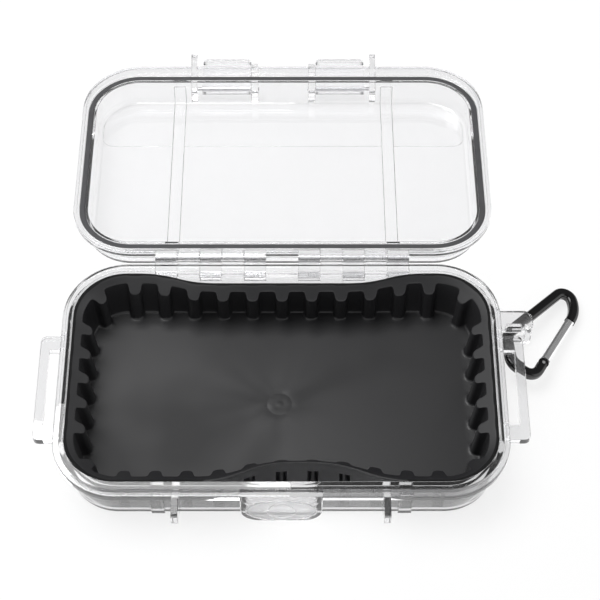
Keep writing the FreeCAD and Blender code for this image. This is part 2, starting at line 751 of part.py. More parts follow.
def hook_path():
    """Centre line of the bent wire: straight runs joined by tangent arcs."""
    length = math.dist(hook_points[3], hook_points[2])
    nose = hook_line_point(length - nose_length)
    stub = hook_line_point(hinge_stub - gate_pin_back)
    order = [2, 1, 0, 4, 3]
    points = [nose] + [hook_points[i] for i in order] + [stub]
    radii = [hook_radii[i] for i in order]
    edges = []
    last = points[0]
    for index, radius in enumerate(radii, 1):
        before, corner, after = points[index - 1], points[index], points[index + 1]
        into = unit(before, corner)
        out = unit(corner, after)
        turn = math.acos(into[0] * out[0] + into[1] * out[1])
        cut = radius * math.tan(turn / 2)
        a = (corner[0] - into[0] * cut, corner[1] - into[1] * cut)
        b = (corner[0] + out[0] * cut, corner[1] + out[1] * cut)
        bisector = (out[0] - into[0], out[1] - into[1])
        size = math.hypot(*bisector)
        dip = radius / math.cos(turn / 2) - radius
        middle = (corner[0] + bisector[0] / size * dip, corner[1] + bisector[1] / size * dip)
        edges.append(line(hook_place(*last), hook_place(*a)))
        edges.append(arc(hook_place(*a), hook_place(*middle), hook_place(*b)))
        last = b
    edges.append(line(hook_place(*last), hook_place(*stub)))
    return Part.Wire(edges)


def unit(a, b):
    size = math.dist(a, b)
    return ((b[0] - a[0]) / size, (b[1] - a[1]) / size)


def gate_frame():
    """Hinge point of the gate, and the directions along and inwards."""
    pin = hook_line_point(hinge_stub - gate_pin_back)
    along = unit(hook_points[3], hook_points[2])
    return pin, along, (-along[1], along[0])


def gate_bar(start, end, width, thickness, edge):
    """Bar along the gate's line with rounded edges, distances from the rivet."""
    origin, along_u, along_v, normal = hook_frame()
    pin, along, inward = gate_frame()
    run = along_u * along[0] + along_v * along[1]
    across = along_u * inward[0] + along_v * inward[1]
    corner = hook_place(*pin) + run * start - across * (width / 2) - normal * (thickness / 2)
    points = [corner, corner + across * width, corner + across * width + normal * thickness,
              corner + normal * thickness]
    solid = prism(points, run * (end - start))
    if edge > 0:
        long_edges = [e for e in solid.Edges if abs(abs((e.Vertexes[1].Point - e.Vertexes[0].Point).dot(run))
                                                - (end - start)) < 1e-6]
        solid = solid.makeFillet(edge, long_edges)
    return solid


def gate_rod(distance, offset, radius, thickness):
    """Round rod across the hook's plane, placed along the gate's line."""
    pin, along, inward = gate_frame()
    origin, along_u, along_v, normal = hook_frame()
    u = pin[0] + along[0] * distance + inward[0] * offset
    v = pin[1] + along[1] * distance + inward[1] * offset
    return rod(hook_place(u, v, -thickness / 2), normal, radius, thickness)


def wire_section(path):
    """Rounded rectangle across the start of the wire."""
    origin, along_u, along_v, normal = hook_frame()
    start = path.Vertexes[0].Point
    pin, along, inward = gate_frame()
    across = along_u * inward[0] + along_v * inward[1]
    w = wire_width / 2
    t = wire_thickness / 2
    e = wire_edge
    k = e * (1 - math.sqrt(0.5))
    place = lambda a, b: start + across * a + normal * b
    edges = []
    for sa, sb in ((1, 1), (-1, 1), (-1, -1), (1, -1)):
        side_end = place(sa * w, sb * (t - e))
        top_end = place(sa * (w - e), sb * t)
        middle = place(sa * (w - k), sb * (t - k))
        first, second = (side_end, top_end) if sa == sb else (top_end, side_end)
        if edges:
            edges.append(line(edges[-1].lastVertex().Point, first))
        edges.append(arc(first, middle, second))
    edges.append(line(edges[-1].lastVertex().Point, edges[0].firstVertex().Point))
    return Part.Wire(edges)


def gate_length():
    """From the rivet to the shoulder of the nose."""
    whole = math.dist(hook_points[3], hook_points[2])
    return whole - nose_length - hinge_stub + gate_pin_back


def make_hook():
    path = hook_path()
    body = path.makePipeShell([wire_section(path)], True, False)
    body = body.fuse(gate_rod(0, 0, wire_width / 2, wire_thickness - knuckle_trim))
    slot = gate_bar(-wire_width / 2 - gate_gap, wire_width, wire_width + 2 * overlap, slot_width, 0.0)
    body = body.cut(slot)
    body = body.cut(gate_rod(0, 0, rivet_radius + rivet_clearance, wire_thickness))
    reach = gate_length()
    tongue = gate_bar(reach - nose_tongue, reach + overlap, wire_width - nose_trim, tongue_thickness, 0.0)
    seat = reach - nose_tongue / 2
    notch = gate_rod(seat, 0, rivet_radius + notch_clearance, wire_thickness)
    opening = notch_opening(seat)
    return body.fuse(tongue).cut(notch.fuse(opening))


def notch_opening(seat):
    """Way by which the gate's rivet leaves the nose, on the inner side."""
    pin, along, inward = gate_frame()
    origin, along_u, along_v, normal = hook_frame()
    half = rivet_radius + notch_clearance
    run = along_u * along[0] + along_v * along[1]
    across = along_u * inward[0] + along_v * inward[1]
    corner = hook_place(*pin) + run * (seat - half) - normal * (wire_thickness / 2)
    points = [corner, corner + run * (2 * half), corner + run * (2 * half) + across * wire_width,
              corner + across * wire_width - run * (2 * half)]
    return prism(points, normal * wire_thickness)


def make_gate():
    reach = gate_length()
    start = wire_width / 2 + gate_gap
    bar = gate_bar(start, reach - gate_gap, gate_width, gate_thickness, gate_edge)
    tongue = gate_bar(0, start + overlap, gate_width - gate_eye_trim, tongue_thickness, 0.0)
    eye = gate_rod(0, 0, (gate_width - gate_eye_trim) / 2, tongue_thickness)
    gate = bar.fuse([tongue, eye])
    gate = gate.cut(gate_rod(0, 0, rivet_radius + rivet_clearance, wire_thickness))
    gate = gate.cut(gate_bar(reach - gate_gap - gate_fork, reach, gate_width + overlap, slot_width, 0.0))
    gate = gate.cut(gate_rod(reach - nose_tongue / 2, 0, rivet_radius, wire_thickness))
    return gate.cut(spring_room()).removeSplitter()


def spring_room():
    pin, along, inward = gate_frame()
    origin, along_u, along_v, normal = hook_frame()
    run = along_u * along[0] + along_v * along[1]
    start = hook_place(*pin) + run * (wire_width / 2 + gate_gap + spring_start)
    return rod(start, run, spring_bore, spring_length + spring_wire)


def make_spring():
    """Small coil spring in the gate."""
    pin, along, inward = gate_frame()
    origin, along_u, along_v, normal = hook_frame()
    run = along_u * along[0] + along_v * along[1]
    turns = Part.makeHelix(spring_pitch, spring_length - spring_wire, spring_radius)
    section = Part.Wire(Part.makeCircle(spring_wire / 2, V(spring_radius, 0, 0), V(0, 1, 0)))
    coil = Part.Wire(turns.Edges).makePipeShell([section], True, True)
    start = hook_place(*pin) + run * (wire_width / 2 + gate_gap + spring_start + spring_wire)
    coil.Placement = FreeCAD.Placement(start, FreeCAD.Rotation(V(0, 0, 1), run))
    return coil


def lid_open_angle():
    """Angle at which the lid's far edge comes to lie just over the ground."""
    flat_edge_y = -half_y + lid_wall_inset_y + lid_lean
    back = hinge_y - flat_edge_y
    up = lid_top_z + rail_height - hinge_z
    radius = math.hypot(back, up)
    fall = math.asin((hinge_z - lid_ground_gap) / radius) - math.atan2(up, back)
    return 180.0 + math.degrees(fall)


def open_lid(solid):
    """Turn a piece of the closed lid back to where it lies open."""
    return solid.rotate(V(0, hinge_y, hinge_z), V(1, 0, 0), -lid_open_angle())


def open_latch(solid):
    return solid.rotate(V(0, latch_y, latch_z), V(1, 0, 0), -latch_open_angle)


def save(name, solid):
    if len(solid.Solids) != 1 or not solid.isValid():
        raise ValueError(name + " is not one valid solid")
    solid.Solids[0].exportStep("parts/" + name + ".step")


def write_base():
    save("base_shell", make_base())
    save("rubber_liner", make_liner())
    for name, pin in zip(("hinge_pin_right", "hinge_pin_left"), both_sides(make_hinge_pin())):
        save(name, pin)


def write_lid():
    save("lid_shell", open_lid(make_lid()))
    save("lid_seal", open_lid(make_seal()))
    for name, pin in zip(("latch_pin_right", "latch_pin_left"), both_sides(latch_pin(pin_radius))):
        save(name, open_lid(pin))
    for name, latch in zip(("latch_right", "latch_left"), both_sides(make_latch())):
        save(name, open_lid(open_latch(latch)))


def write_hook():
    save("snap_hook", make_hook())
    save("hook_gate", make_gate())
    save("gate_hinge_rivet", gate_rod(0, 0, rivet_radius, wire_thickness + rivet_proud))
    save("gate_nose_rivet", gate_rod(gate_length() - nose_tongue / 2, 0, rivet_radius, gate_thickness))
    save("gate_spring", make_spring())


write_base()
write_lid()
write_hook()
hinge_text = "hinge axis y %.3f z %.3f, lid open angle %.3f" % (hinge_y, hinge_z, lid_open_angle())
print(hinge_text)
print("latch pin closed y %.3f z %.3f" % (latch_y, latch_z))
pin_u, pin_v = gate_frame()[0]
print("hook plane", hook_frame())
print("gate rivet", hook_place(pin_u, pin_v))
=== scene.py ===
import bpy
import math
import numpy as np
from mathutils import Matrix


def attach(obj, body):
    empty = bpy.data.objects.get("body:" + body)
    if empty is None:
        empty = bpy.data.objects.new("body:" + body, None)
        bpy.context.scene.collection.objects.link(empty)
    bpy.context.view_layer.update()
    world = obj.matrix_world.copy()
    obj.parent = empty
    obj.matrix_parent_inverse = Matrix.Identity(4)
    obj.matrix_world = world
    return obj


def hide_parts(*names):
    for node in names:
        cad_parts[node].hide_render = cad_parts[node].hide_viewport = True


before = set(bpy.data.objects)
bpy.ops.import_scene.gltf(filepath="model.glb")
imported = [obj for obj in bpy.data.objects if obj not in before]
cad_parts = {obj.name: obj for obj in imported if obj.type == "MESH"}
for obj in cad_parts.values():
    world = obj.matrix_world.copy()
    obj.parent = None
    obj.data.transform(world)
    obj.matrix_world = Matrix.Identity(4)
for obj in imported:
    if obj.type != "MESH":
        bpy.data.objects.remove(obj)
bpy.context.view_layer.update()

# Clear case: base, lid and two latches.
# Each is one injection moulding in clear polycarbonate, 2 to 3 mm thick and polished in the mould.
# What shows of it is its edges, its double walls and faint waves where the melt cooled.


def linear(code):
    """Turn an sRGB hex colour into the linear RGBA that the shaders take."""
    parts = [int(code[i:i + 2], 16) / 255 for i in (1, 3, 5)]
    return [c / 12.92 if c < 0.04045 else ((c + 0.055) / 1.055) ** 2.4 for c in parts] + [1.0]


def add(tree, kind, values={}, links={}, **settings):
    """Add a shader node, set its settings and socket values, and link sockets to (node, output) pairs."""
    made = tree.nodes.new(kind)
    for name, value in settings.items():
        setattr(made, name, value)
    for socket, value in values.items():
        made.inputs[socket].default_value = value
    for socket, (source, output) in links.items():
        tree.links.new(source.outputs[output], made.inputs[socket])
    return made


def start_material(name):
    """Make an empty node material and return it with its tree and an Object coordinate node."""
    made = bpy.data.materials.new(name)
    made.use_nodes = True
    made.node_tree.nodes.clear()
    return made, made.node_tree, add(made.node_tree, "ShaderNodeTexCoord")


def dress(finish, *pieces):
    """Give every face of the pieces one material."""
    for piece in pieces:
        piece.data.materials.clear()
        piece.data.materials.append(finish)


clear_plastic, tree, place = start_material("clear_polycarbonate")
# Waves about 25 mm long bend the edges behind the plastic a little, as mould shrinkage does.
wave = add(tree, "ShaderNodeTexNoise", {"Scale": 40.0, "Detail": 1.0}, {"Vector": (place, "Object")})
# Every edge of a moulding is rounded by some 0.4 mm, and catches a line of light or shade.
edges = add(tree, "ShaderNodeBevel", {"Radius": 0.0004}, samples=4)
swell = add(tree, "ShaderNodeBump", {"Strength": 0.08, "Distance": 0.001},
            {"Height": (wave, "Fac"), "Normal": (edges, "Normal")})
# Handling leaves fine haze about 1 mm across, which softens reflections unevenly.
speck = add(tree, "ShaderNodeTexNoise", {"Scale": 900.0, "Detail": 3.0}, {"Vector": (place, "Object")})
haze = add(tree, "ShaderNodeMapRange", {"From Min": 0.45, "From Max": 0.7, "To Min": 0.0, "To Max": 0.04},
           {"Value": (speck, "Fac")})
# The oval field of the front block, 33 by 18.6 mm at 15.5 mm height, comes blasted from the mould
# and looks frosted.
field = add(tree, "ShaderNodeMapping", {"Location": (0.0, -0.0628, 0.0155), "Scale": (0.0165, 0.004, 0.0093)},
            {"Vector": (place, "Object")}, vector_type="TEXTURE")
radius = add(tree, "ShaderNodeVectorMath", {}, {0: (field, "Vector")}, operation="LENGTH")
blasted = add(tree, "ShaderNodeMapRange", {"From Min": 0.9, "From Max": 1.0, "To Min": 1.0, "To Max": 0.0},
              {"Value": (radius, "Value")})
matt = add(tree, "ShaderNodeMath", {1: 0.3}, {0: (blasted, "Result")}, operation="MULTIPLY")
rough = add(tree, "ShaderNodeMath", {}, {0: (haze, "Result"), 1: (matt, "Value")}, operation="ADD")
clear = add(tree, "ShaderNodeBsdfPrincipled",
            {"Base Color": linear("#fdfdfe"), "IOR": 1.585, "Transmission Weight": 1.0},
            {"Roughness": (rough, "Value"), "Normal": (swell, "Normal")})
# A little light scatters at each face, which keeps what lies behind thick plastic from looking fully dark.
milk = add(tree, "ShaderNodeBsdfTranslucent", {"Color": linear("#fafafb")})
milky = add(tree, "ShaderNodeMapRange", {"To Min": 0.012, "To Max": 0.5}, {"Value": (blasted, "Result")})
plastic = add(tree, "ShaderNodeMixShader", {}, {0: (milky, "Result"), 1: (clear, "BSDF"), 2: (milk, "BSDF")})
path = add(tree, "ShaderNodeLightPath")
# Lamps shine through it, so that what it holds is lit.
see_lamp = add(tree, "ShaderNodeBsdfTransparent", {"Color": linear("#f8f8f8")})
both = add(tree, "ShaderNodeMixShader", {},
           {0: (path, "Is Shadow Ray"), 1: (plastic, "Shader"), 2: (see_lamp, "BSDF")})
add(tree, "ShaderNodeOutputMaterial", {}, {"Surface": (both, "Shader")})
dress(clear_plastic, *[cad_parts[name] for name in
                       ("base_shell", "lid_shell", "latch_right", "latch_left")])

# Liner: one tray of black rubber, compression moulded, that lifts out of the base.
# Its lip slopes inwards, 36 ribs stand round its wall and are hollow behind, and the rubber bows in
# at the middle of both long sides. A shallow round gate mark sits in the floor. All sizes are in mm.


def ring_columns():
    """Columns round the liner, seen from above and anticlockwise from the right end.

    A column lies at a * (half length - r) + r * cos in X and b * (half width - r) + r * sin in Y,
    so one set of columns serves every inset and corner radius. Columns crowd at the flanks of the ribs.
    Returns a, b, cos, sin, the bow of the back wall in mm, how far the front wall has rolled in (0 to 1) and
    the distance to the nearest rib's middle in mm.
    """
    straight_x, straight_y, corner, pitch = 72.4, 33.2, 18.5, 13.9
    arc = corner * math.pi / 2
    runs = [2 * straight_y, arc, 2 * straight_x, arc] * 2
    starts = np.cumsum([0.0] + runs)
    long_ribs = np.arange(-5, 6) * pitch
    end_ribs = np.arange(-2, 3) * pitch
    middles = np.concatenate([starts[0] + straight_y + end_ribs, [starts[1] + arc / 2],
                              starts[2] + straight_x + long_ribs, [starts[3] + arc / 2]])
    middles = np.concatenate([middles, middles + starts[4]])
    whole = starts[-1]
    steps = np.array([0, 0.3, 0.6, 0.95, 1.2, 1.4, 1.5, 1.8, 2.15, 2.44, 2.6, 2.72, 2.8, 3.05, 3.3, 3.5,
                      3.75, 4.05, 4.5, 5.4, 6.95, 8.0])
    offsets = np.concatenate([-steps[:0:-1], steps])
    bends = np.concatenate([np.arange(starts[i], starts[i + 1], 1.2) for i in (1, 3, 5, 7)])
    q = np.unique(np.mod(np.round(np.concatenate([(middles[:, None] + offsets).ravel(), bends]), 3), whole))
    away = np.abs(q[:, None] - middles)
    away = np.minimum(away, whole - away).min(axis=1)
    run = np.searchsorted(starts, q, side="right") - 1
    share = (q - starts[run]) / np.array(runs)[run]
    turn = (run // 2) * (math.pi / 2) + np.where(run % 2 == 1, share * math.pi / 2, 0.0)
    cos, sin = np.cos(turn), np.sin(turn)
    along = 2 * share - 1
    corner_a = np.array([1, 1, 0, -1, -1, -1, 0, 1])[run]
    corner_b = np.array([0, 1, 1, 1, 0, -1, -1, -1])[run]
    a = np.where(run == 2, -along, np.where(run == 6, along, corner_a))
    b = np.where(run == 0, along, np.where(run == 4, -along, corner_b))
    # Both waists ease in and out. At the back the bow starts 68 mm to either side of the middle and reaches
    # its 5.6 mm within 38 mm. In front the roll grows over 45 mm from x = -39 and fades over the 50 mm
    # before x = 61.
    t = np.linspace(0, 1, 60)
    ease_x, ease_y = 1.5 * t * (1 - t) + t ** 3, t * t * (3 - 2 * t)
    x = a * straight_x
    bow = np.where(run == 2, 5.6 * np.interp((68.0 - np.abs(x)) / 38.0, ease_x, ease_y), 0.0)
    front = np.interp(np.where(x < 9.0, (x + 39.0) / 45.0, (61.0 - x) / 50.0), ease_x, ease_y)
    roll = np.where(run == 6, front, 0.0)
    return a, b, cos, sin, bow, roll, away


def liner_rows(columns):
    """Rings of points from the middle of the underside, up the outside, over the lip and down to the floor.

    Outside: a 3.2 mm fillet, a wall that leans in by 3.6 and 2.9 mm, and a hollow 6.7 mm deep behind
    each rib.
    Lip: 1.3 mm flat, then a slope of 4.6 mm down over 7.1 mm in. Its outer edge is rounded by 0.5 mm.
    Inside: ribs 4.2 mm deep and 5.6 mm wide at the tip, grown by a disc for the fillet at the floor, then
    rings that turn from the tray's outline into the circle of the gate mark.
    The front wall has rolled in: at the lip it stands 10.9 mm further in and 1.2 mm lower, and is turned by
    28 degrees.
    """
    a, b, cos, sin, bow, roll, away = columns
    half_x, half_y, case_radius = 102.0, 62.8, 29.6
    low, floor, top = 3.15, 7.05, 29.7
    lip_x, lip_y, lip_radius, lip_flat, fall = 4.95, 6.35, 24.8, 1.3, 4.6 / 7.1
    lean_x, lean_y, foot, edge, blend = 3.6, 2.9, 3.2, 0.5, 0.5
    rib_lean, rib_root, hollow_depth, floor_fillet = 2.4, 4.2, 5.5, 1.1
    roll_in, roll_down, roll_turn = 10.9, 1.2, 0.49
    mark_x, mark_y, mark_reach = -1.1, -2.2, 9.5

    def ring(inset_x, inset_y, radius, z, waist):
        """One ring, with the bow scaled by waist (0 at the foot, 1 at the lip) and the roll by height."""
        x = a * (half_x - inset_x - radius) + radius * cos
        y = b * (half_y - inset_y - radius) + radius * sin - sin * bow * (0.02 + waist)
        height = np.clip((z - floor) / (top - floor), 0, 1)
        depth = inset_y - lip_y - lean_y * (top - z) / (top - low)
        turn = roll_turn * roll * height
        y = y + roll * height * roll_in - depth * (1 - np.cos(turn))
        return np.stack([x, y, z - roll_down * roll * height - depth * np.sin(turn)], axis=1)

    def outside(z, fillet, hollow):
        lean = (top - z) / (top - low)
        behind_lean = rib_lean * (top - z) / (top - floor)
        inset_x = lip_x + lean_x * lean + fillet
        inset_y = lip_y + lean_y * lean + fillet
        if hollow:
            inset_x = np.maximum(inset_x, lip_x + behind_lean + behind)
            inset_y = np.maximum(inset_y, lip_y + behind_lean + behind)
        return ring(inset_x, inset_y, case_radius - (inset_x + inset_y) / 2, z, 1 - lean)

    def inside(depth, z):
        height = (z - floor) / (top - floor)
        depth = depth + rib_lean * (1 - height)
        return ring(lip_x + depth, lip_y + depth, lip_radius - depth, z, height)

    def on_slope(depth):
        return ring(lip_x + depth, lip_y + depth, lip_radius - depth, top - fall * (depth - lip_flat), 1.0)

    def rib(distance):
        """Depth of the ribs beyond their root: a tip with 2.2 mm corners, a steep flank and a 1.2 mm root."""
        tip = 2.0 + np.sqrt(np.maximum(2.2 ** 2 - np.maximum(distance - 0.6, 0) ** 2, 0))
        flank = (3.5 - distance) / 0.7 * 2.0
        root = 1.2 - np.sqrt(np.maximum(1.2 ** 2 - (4.35 - distance) ** 2, 0))
        return np.select([distance < 2.8, distance < 3.22, distance < 4.35], [tip, flank, root], 0.0)

    def grown(radius):
        """The ribs' outline grown by a disc, as a fillet grows it: the highest of outline plus disc."""
        reach = np.linspace(-radius, radius, 25)
        rise = np.sqrt(np.maximum(radius ** 2 - reach ** 2, 0))
        return (rib(np.abs(away[:, None] + reach)) + rise).max(axis=1)

    def rise_and_run(angle):
        """Sine and cosine of an angle in degrees."""
        return math.sin(math.radians(angle)), math.cos(math.radians(angle))

    # The hollow behind a rib goes straight in for 5.5 mm and its end is a round of 1.2 mm. Its flanks run out
    # 2.44 mm from the rib's middle.
    round_end = np.sqrt(np.maximum(1.2 ** 2 - np.maximum(away - 0.3, 0) ** 2, 0))
    behind = np.where(away < 1.5, hollow_depth + round_end,
                      hollow_depth * np.clip((2.44 - away) / 0.94, -1, 1))
    rows = [outside(low, 15.0, False), outside(low, foot, False)]
    for angle in (20, 40, 55, 67):
        rise, run = rise_and_run(angle)
        rows.append(outside(low + foot * (1 - run), foot * (1 - rise), False))
    for z, fillet in ((5.1, 0.25), (5.8, 0.06), (6.4, 0.0), (12.0, 0.0), (18.0, 0.0), (24.8, 0.0)):
        rows.append(outside(z, fillet, True))
    for z in (24.8, 27.0, top - edge):
        rows.append(outside(z, 0.0, False))
    for angle in (30, 60, 90):
        rise, run = rise_and_run(angle)
        rows.append(outside(top - edge + edge * rise, edge * (1 - run), False))
    rows.append(ring(lip_x + 1.1, lip_y + 1.1, lip_radius - 1.1, top, 1.0))
    # The slope meets the ribs' faces at a corner that is rounded over 0.5 mm each way.
    face = rib_root + rib(away)
    tilt = fall * (rib_lean - bow) / (top - floor)
    corner = (face - lip_flat * tilt) / (1 - tilt)
    for share in (0.04, 0.3, 0.65):
        rows.append(on_slope(lip_flat + (corner - lip_flat - blend) * share))
    before, turned = on_slope(corner - blend), on_slope(corner)
    corner_z = turned[:, 2]
    beyond = inside(face, corner_z - blend)
    for t in (0.0, 0.25, 0.5, 0.75, 1.0):
        rows.append((1 - t) ** 2 * before + 2 * t * (1 - t) * turned + t * t * beyond)
    for share in (0.33, 0.66, 1.0):
        rows.append(inside(face, corner_z - blend + (floor + floor_fillet - corner_z + blend) * share))
    for angle in (18, 36, 54, 72, 90):
        rise, run = rise_and_run(angle)
        depth = rib_root + grown(max(floor_fillet * (1 - run), 1e-3))
        rows.append(inside(depth, floor + floor_fillet * (1 - rise)))
    rows.append(inside(np.full_like(away, 10.6), floor))
    # From this plain ring past the ribs the floor runs in along spokes to the gate mark's rings. The mark is
    # a groove 0.08 mm deep round a dish of 0.05 mm, with a nub in its middle.
    outline = rows[-1][:, :2] - (mark_x, mark_y)
    size = np.linalg.norm(outline, axis=1)[:, None]
    spokes = outline / size
    for share in (0.8, 0.55, 0.3):
        flat = spokes * (mark_reach + (size - mark_reach) * share) + (mark_x, mark_y)
        rows.append(np.column_stack([flat, np.full(len(away), floor)]))
    for radius, step in ((mark_reach, 0.0), (6.6, 0.0), (6.0, -0.08), (5.6, -0.08), (5.1, -0.01), (3.2, 0.0),
                         (2.4, -0.05), (1.4, -0.05), (0.9, 0.04), (0.4, 0.06)):
        rows.append(np.column_stack([spokes * radius + (mark_x, mark_y), np.full(len(away), floor + step)]))
    return rows


def closed_surface(name, rows, first, last):
    """Join rings of points, in mm, into one closed surface in metres, with a fan to a pole at either end."""
    count = len(rows[0])
    points = np.concatenate(rows + [[first], [last]]) / 1000
    index = np.arange(count)
    after = np.roll(index, -1)
    quads = np.concatenate([np.stack([index, after, after + count, index + count], axis=1) + level * count
                            for level in range(len(rows) - 1)])
    last_ring = (len(rows) - 1) * count
    start = np.stack([np.full(count, len(points) - 2), after, index], axis=1)
    end = np.stack([index + last_ring, after + last_ring, np.full(count, len(points) - 1)], axis=1)
    mesh = bpy.data.meshes.new(name)
    mesh.from_pydata(points.tolist(), [], start.tolist() + quads.tolist() + end.tolist())
    mesh.shade_smooth()
    mesh.set_sharp_from_angle(angle=math.radians(50))
    made = bpy.data.objects.new(name, mesh)
    bpy.context.scene.collection.objects.link(made)
    return made


columns = ring_columns()
# Its poles are the middle of the underside and the top of the nub in the gate mark.
liner = closed_surface("liner", liner_rows(columns), (0.0, 0.0, 3.15), (-1.1, -2.2, 7.12))
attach(liner, "base")
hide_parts("rubber_liner")

rubber, tree, place = start_material("moulded_black_rubber")
# The rubber ran out in lobes from the gate, 1.1 and 2.2 mm off the middle, and each cooled to its own sheen.
shift = add(tree, "ShaderNodeMapping", {"Location": (0.0011, 0.0022, 0.0)}, {"Vector": (place, "Object")})
bearing = add(tree, "ShaderNodeVectorMath", {}, {0: (shift, "Vector")}, operation="NORMALIZE")
lobes = add(tree, "ShaderNodeTexNoise", {"Scale": 1.7, "Detail": 1.0}, {"Vector": (bearing, "Vector")})
reach = add(tree, "ShaderNodeVectorMath", {}, {0: (shift, "Vector")}, operation="LENGTH")
fade = add(tree, "ShaderNodeMapRange", {"From Min": 0.005, "From Max": 0.06, "To Min": 0.35, "To Max": 0.85},
           {"Value": (reach, "Value")})
cloud = add(tree, "ShaderNodeTexNoise", {"Scale": 16.0, "Detail": 2.0}, {"Vector": (place, "Object")})
flow = add(tree, "ShaderNodeMix", {}, {"Factor": (fade, "Result"), "A": (lobes, "Fac"), "B": (cloud, "Fac")})
# Fine grain of about 0.6 mm from the blasted mould keeps the surface from shining evenly.
grain = add(tree, "ShaderNodeTexNoise", {"Scale": 1600.0, "Detail": 2.0}, {"Vector": (place, "Object")})
bump = add(tree, "ShaderNodeBump", {"Strength": 0.12, "Distance": 0.0001}, {"Height": (grain, "Fac")})
sheen = add(tree, "ShaderNodeMapRange", {"From Min": 0.38, "From Max": 0.62, "To Min": 0.6, "To Max": 0.38},
            {"Value": (flow, "Result")})
tone = add(tree, "ShaderNodeMix", {6: linear("#0f0f11"), 7: linear("#202022")}, {"Factor": (flow, "Result")},
           data_type="RGBA")
skin = add(tree, "ShaderNodeBsdfPrincipled", {"IOR": 1.52},
           {"Base Color": (tone, 2), "Roughness": (sheen, "Result"), "Normal": (bump, "Normal")})
add(tree, "ShaderNodeOutputMaterial", {}, {"Surface": (skin, "BSDF")})
dress(rubber, liner)

# Painted shade: the lip's outer edge is painted blacker and duller everywhere except on the rolled front
# wall.
# It stands in for the shadow in the gap against the case's tongue and the dark that the edge's rounding
# reflects.
# The painted band covers six rows of faces, from the top of the wall to the start of the slope.
lip_edge_painted_shade, tree, place = start_material("rubber_lip_painted_shade")
shade_noise = add(tree, "ShaderNodeTexNoise", {"Scale": 700.0, "Detail": 3.0}, {"Vector": (place, "Object")})
tone = add(tree, "ShaderNodeMix", {6: linear("#060607"), 7: linear("#0c0c0d")}, {"Factor": (shade_noise, "Fac")},
           data_type="RGBA")
dull = add(tree, "ShaderNodeMapRange", {"To Min": 0.7, "To Max": 0.9}, {"Value": (shade_noise, "Fac")})
skin = add(tree, "ShaderNodeBsdfPrincipled", {"IOR": 1.35},
           {"Base Color": (tone, 2), "Roughness": (dull, "Result")})
add(tree, "ShaderNodeOutputMaterial", {}, {"Surface": (skin, "BSDF")})
liner.data.materials.append(lip_edge_painted_shade)
front_roll = columns[5]
# Every column gets the painted shade except those of the rolled front wall.
painted_shade_columns = (front_roll < 0.02).astype(np.int32)
first_shaded_row, shaded_rows = 14, 6
finishes = np.zeros(len(liner.data.polygons), dtype=np.int32)
finishes[first_shaded_row * len(painted_shade_columns):(first_shaded_row + shaded_rows) * len(painted_shade_columns)] = np.tile(painted_shade_columns, shaded_rows)
liner.data.polygons.foreach_set("material_index", finishes)

# Seal: a ring of dark grey silicone, cut from extruded cord and pressed into the lid's groove.
# It is softer and duller than the liner, with a dusty bloom.
silicone, tree, place = start_material("grey_silicone")
bloom = add(tree, "ShaderNodeTexNoise", {"Scale": 300.0, "Detail": 4.0}, {"Vector": (place, "Object")})
tone = add(tree, "ShaderNodeMix", {6: linear("#3a3a3c"), 7: linear("#4a4a4c")}, {"Factor": (bloom, "Fac")},
           data_type="RGBA")
dull = add(tree, "ShaderNodeMapRange", {"To Min": 0.5, "To Max": 0.75}, {"Value": (bloom, "Fac")})
skin = add(tree, "ShaderNodeBsdfPrincipled", {"IOR": 1.41},
           {"Base Color": (tone, 2), "Roughness": (dull, "Result")})
add(tree, "ShaderNodeOutputMaterial", {}, {"Surface": (skin, "BSDF")})
dress(silicone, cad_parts["lid_seal"])

# Pins: straight lengths of 2 mm stainless rod, centreless ground, in the hinge and the latches.
# Grinding leaves fine rings round the rod, and its sheen changes from ring to ring. They are drawn as coarse
# as 0.25 mm, so that they show.
steel, tree, place = start_material("ground_stainless_rod")
squeeze = add(tree, "ShaderNodeMapping", {"Scale": (4000.0, 200.0, 200.0)}, {"Vector": (place, "Object")})
rings = add(tree, "ShaderNodeTexNoise", {"Scale": 1.0, "Detail": 2.0}, {"Vector": (squeeze, "Vector")})
rough = add(tree, "ShaderNodeMapRange", {"To Min": 0.18, "To Max": 0.34}, {"Value": (rings, "Fac")})
tone = add(tree, "ShaderNodeMix", {6: linear("#b4b4b6"), 7: linear("#cacacb")}, {"Factor": (rings, "Fac")},
           data_type="RGBA")
skin = add(tree, "ShaderNodeBsdfPrincipled", {"Metallic": 1.0},
           {"Base Color": (tone, 2), "Roughness": (rough, "Result")})
add(tree, "ShaderNodeOutputMaterial", {}, {"Surface": (skin, "BSDF")})
dress(steel, *[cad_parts[name] for name in
               ("hinge_pin_right", "hinge_pin_left", "latch_pin_right", "latch_pin_left")])

# Snap hook: a die cast and tumbled aluminium frame, black anodised.
# The oxide is a glassy black skin, so lamps show on it as crisp bright lines over a nearly black ground.
black_oxide, tree, place = start_material("black_anodised_aluminium")
tumble = add(tree, "ShaderNodeTexNoise", {"Scale": 500.0, "Detail": 3.0}, {"Vector": (place, "Object")})
rough = add(tree, "ShaderNodeMapRange", {"To Min": 0.1, "To Max": 0.2}, {"Value": (tumble, "Fac")})
bump = add(tree, "ShaderNodeBump", {"Strength": 0.08, "Distance": 0.0001}, {"Height": (tumble, "Fac")})
skin = add(tree, "ShaderNodeBsdfPrincipled",
           {"Base Color": linear("#050506"), "IOR": 1.55, "Coat Weight": 0.12, "Coat Roughness": 0.05},
           {"Roughness": (rough, "Result"), "Normal": (bump, "Normal")})
add(tree, "ShaderNodeOutputMaterial", {}, {"Surface": (skin, "BSDF")})
dress(black_oxide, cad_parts["snap_hook"])

